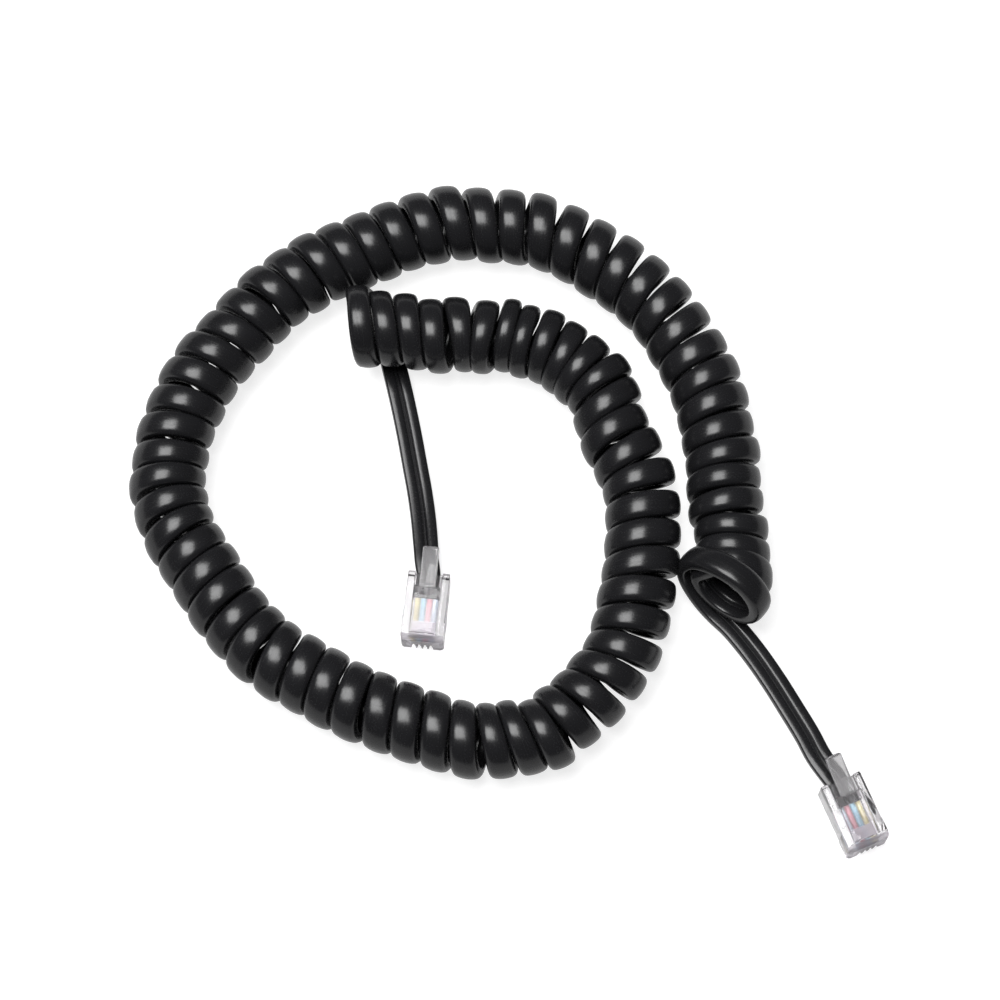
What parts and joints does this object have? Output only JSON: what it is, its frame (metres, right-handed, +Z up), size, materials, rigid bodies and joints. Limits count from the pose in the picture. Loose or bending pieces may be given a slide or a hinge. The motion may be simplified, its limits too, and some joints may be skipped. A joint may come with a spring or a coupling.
{
  "type": "coiled telephone handset cord",
  "caption": "Close-wound flat handset cord lying in an open round, with a straight tail and a clear latching modular plug at each end.",
  "frame": {"origin": "middle of the footprint, on the surface that the cord lies on", "axes": "+Z up from the surface; +X and +Y in the surface, the outer plug towards +X and -Y; both latches face +Z"},
  "size_m": [0.1329, 0.1226, 0.0163],
  "materials": {
    "black_pvc": "extruded flexible PVC, satin gloss",
    "clear_polycarbonate": "clear moulded polycarbonate",
    "gold_contacts": "gold flashed phosphor bronze",
    "yellow_insulation": "extruded insulation",
    "blue_insulation": "extruded insulation",
    "red_insulation": "extruded insulation",
    "white_insulation": "extruded insulation",
    "copper_tinsel": "wrapped tinsel strands"
  },
  "bodies": {
    "cord": {"cord_coil": "black_pvc", "cord_tail_a": "black_pvc", "cord_tail_b": "black_pvc", "plug_body_a": "clear_polycarbonate", "jacket_end_a": "black_pvc", "cord_clamp_a": "clear_polycarbonate", "wire_clamp_a": "clear_polycarbonate", "contact_a1": "gold_contacts", "contact_a2": "gold_contacts", "contact_a3": "gold_contacts", "contact_a4": "gold_contacts", "wire_a_yellow": "yellow_insulation", "wire_a_blue": "blue_insulation", "wire_a_red": "red_insulation", "wire_a_white": "white_insulation", "tinsel_a1": "copper_tinsel", "tinsel_a2": "copper_tinsel", "tinsel_a3": "copper_tinsel", "tinsel_a4": "copper_tinsel", "plug_body_b": "clear_polycarbonate", "jacket_end_b": "black_pvc", "cord_clamp_b": "clear_polycarbonate", "wire_clamp_b": "clear_polycarbonate", "contact_b1": "gold_contacts", "contact_b2": "gold_contacts", "contact_b3": "gold_contacts", "contact_b4": "gold_contacts", "wire_b_white": "white_insulation", "wire_b_red": "red_insulation", "wire_b_blue": "blue_insulation", "wire_b_yellow": "yellow_insulation", "tinsel_b1": "copper_tinsel", "tinsel_b2": "copper_tinsel", "tinsel_b3": "copper_tinsel", "tinsel_b4": "copper_tinsel"},
    "latch_a": {"latch_tab_a": "clear_polycarbonate"},
    "latch_b": {"latch_tab_b": "clear_polycarbonate"}
  },
  "joints": [
    {"name": "latch_a_press", "type": "hinge", "parent": "cord", "child": "latch_a", "pos_m": [-0.01449, -0.02222, 0.0056], "axis": [-0.9945, 0.1045, 0], "range_deg": [0, 12], "stiffness_Nm_per_rad": 0.1},
    {"name": "latch_b_press", "type": "hinge", "parent": "cord", "child": "latch_b", "pos_m": [0.06266, -0.05879, 0.0056], "axis": [-0.9205, -0.3907, 0], "range_deg": [0, 12], "stiffness_Nm_per_rad": 0.1}
  ]
}
